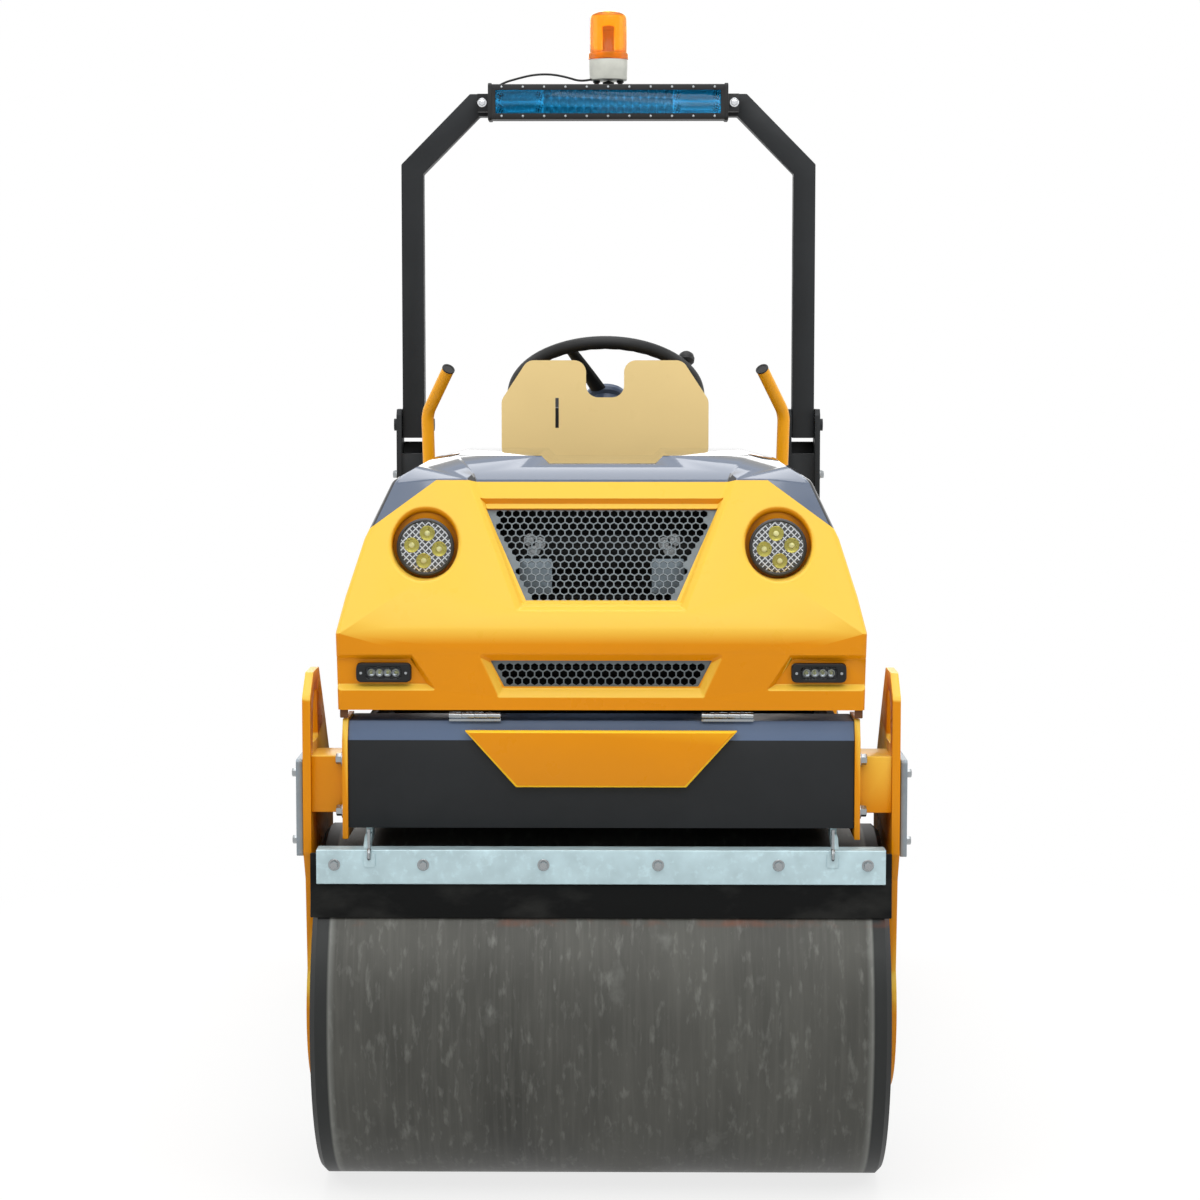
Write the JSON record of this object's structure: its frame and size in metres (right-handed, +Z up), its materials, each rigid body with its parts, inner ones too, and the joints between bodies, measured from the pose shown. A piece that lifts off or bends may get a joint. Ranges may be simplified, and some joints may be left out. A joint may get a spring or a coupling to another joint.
{
  "type": "tandem road roller",
  "caption": "Articulated ride-on road roller with two smooth steel drums, yellow tilting hood with mesh grilles and lamps, seat, steering wheel and folding roll bar with beacon.",
  "frame": {"origin": "on the floor midway between the two drums, under the articulation pivot", "axes": "+Z up, the machine's front faces -Y, +X is its right side as seen from the front"},
  "size_m": [1.076, 2.13, 2.261],
  "materials": {
    "yellow_paint": "gloss",
    "dark_paint": "satin",
    "gloss_black": "gloss",
    "black_steel_mesh": "satin",
    "galvanized": "satin",
    "drum_steel": "worn",
    "rubber": "matte",
    "lamp": "gloss",
    "engine_iron": "matte",
    "bright_rod": "polished",
    "black_plastic": "matte",
    "seat_vinyl": "satin",
    "grey_plastic": "matte",
    "amber": "gloss",
    "blue_film": "gloss"
  },
  "bodies": {
    "front_frame": {"front_chassis": "dark_paint", "front_side_plates": "yellow_paint", "front_side_guards": "galvanized", "front_hub_carriers": "dark_paint", "front_cross_box": "dark_paint", "front_cross_arms": "yellow_paint", "front_scraper_bar": "galvanized", "front_scraper_strip": "rubber", "hood_hinges": "galvanized", "badge_plate": "yellow_paint", "engine_block": "engine_iron", "radiator": "dark_paint"},
    "front_drum": {"front_drum": "drum_steel"},
    "hood": {"hood_shell": "yellow_paint", "hood_cover": "gloss_black", "hood_grilles": "black_steel_mesh", "round_lamps": "lamp", "marker_lamps": "lamp"},
    "knuckle": {"pivot_knuckle": "dark_paint"},
    "cylinder_barrel": {"steering_barrel": "dark_paint"},
    "cylinder_rod": {"steering_rod": "bright_rod"},
    "rear_frame": {"rear_chassis": "dark_paint", "rear_side_plates": "yellow_paint", "rear_side_guards": "galvanized", "rear_hub_carriers": "dark_paint", "rear_cross_box": "dark_paint", "rear_cross_arms": "yellow_paint", "rear_scraper_bar": "galvanized", "rear_scraper_strip": "rubber", "floor_plate": "dark_paint", "rear_body": "yellow_paint", "dash_console": "dark_paint", "dash_plate": "yellow_paint", "steering_column": "dark_paint", "seat_base": "dark_paint", "seat_cushion": "seat_vinyl", "seat_back": "seat_vinyl", "grab_poles": "yellow_paint", "rops_brackets": "dark_paint", "travel_lever": "black_plastic", "tail_lamps": "lamp"},
    "rear_drum": {"rear_drum": "drum_steel"},
    "wheel": {"steering_wheel": "black_plastic"},
    "roll_bar": {"rops_hoop": "dark_paint", "light_bar": "dark_paint", "light_bar_lens": "blue_film", "beacon_base": "grey_plastic", "beacon_dome": "amber", "beacon_lead": "rubber"}
  },
  "joints": [
    {"name": "front_drum_spin", "type": "hinge", "parent": "front_frame", "child": "front_drum", "pos_m": [0, -0.75, 0.315], "axis": [1, 0, 0], "continuous": true},
    {"name": "hood_tilt", "type": "hinge", "parent": "front_frame", "child": "hood", "pos_m": [0, -0.94, 0.855], "axis": [1, 0, 0], "range_deg": [0, 65]},
    {"name": "articulation", "type": "hinge", "parent": "front_frame", "child": "knuckle", "pos_m": [0, 0, 0.5], "axis": [0, 0, 1], "range_deg": [-28, 28]},
    {"name": "frame_roll", "type": "hinge", "parent": "knuckle", "child": "rear_frame", "pos_m": [0, 0, 0.5], "axis": [0, 1, 0], "range_deg": [-6, 6]},
    {"name": "rear_drum_spin", "type": "hinge", "parent": "rear_frame", "child": "rear_drum", "pos_m": [0, 0.75, 0.315], "axis": [1, 0, 0], "continuous": true},
    {"name": "steering_wheel_turn", "type": "hinge", "parent": "rear_frame", "child": "wheel", "pos_m": [0, 0.04, 1.396], "axis": [0, 0.5736, 0.8192], "continuous": true},
    {"name": "roll_bar_fold", "type": "hinge", "parent": "rear_frame", "child": "roll_bar", "pos_m": [0, 0.7, 1.32], "axis": [-1, 0, 0], "range_deg": [0, 95]},
    {"name": "cylinder_swing", "type": "hinge", "parent": "front_frame", "child": "cylinder_barrel", "pos_m": [-0.12, -0.285, 0.5], "axis": [0, 0, 1], "range_deg": [-3, 3]},
    {"name": "cylinder_stroke", "type": "slide", "parent": "cylinder_barrel", "child": "cylinder_rod", "axis": [0.0738, 0.9973, 0], "range_m": [-0.05, 0.05]}
  ],
  "couplings": [
    {"joint": "cylinder_swing", "follows": "articulation", "ratio": 0.04784},
    {"joint": "cylinder_stroke", "follows": "articulation", "m_per_rad": -0.09535}
  ]
}
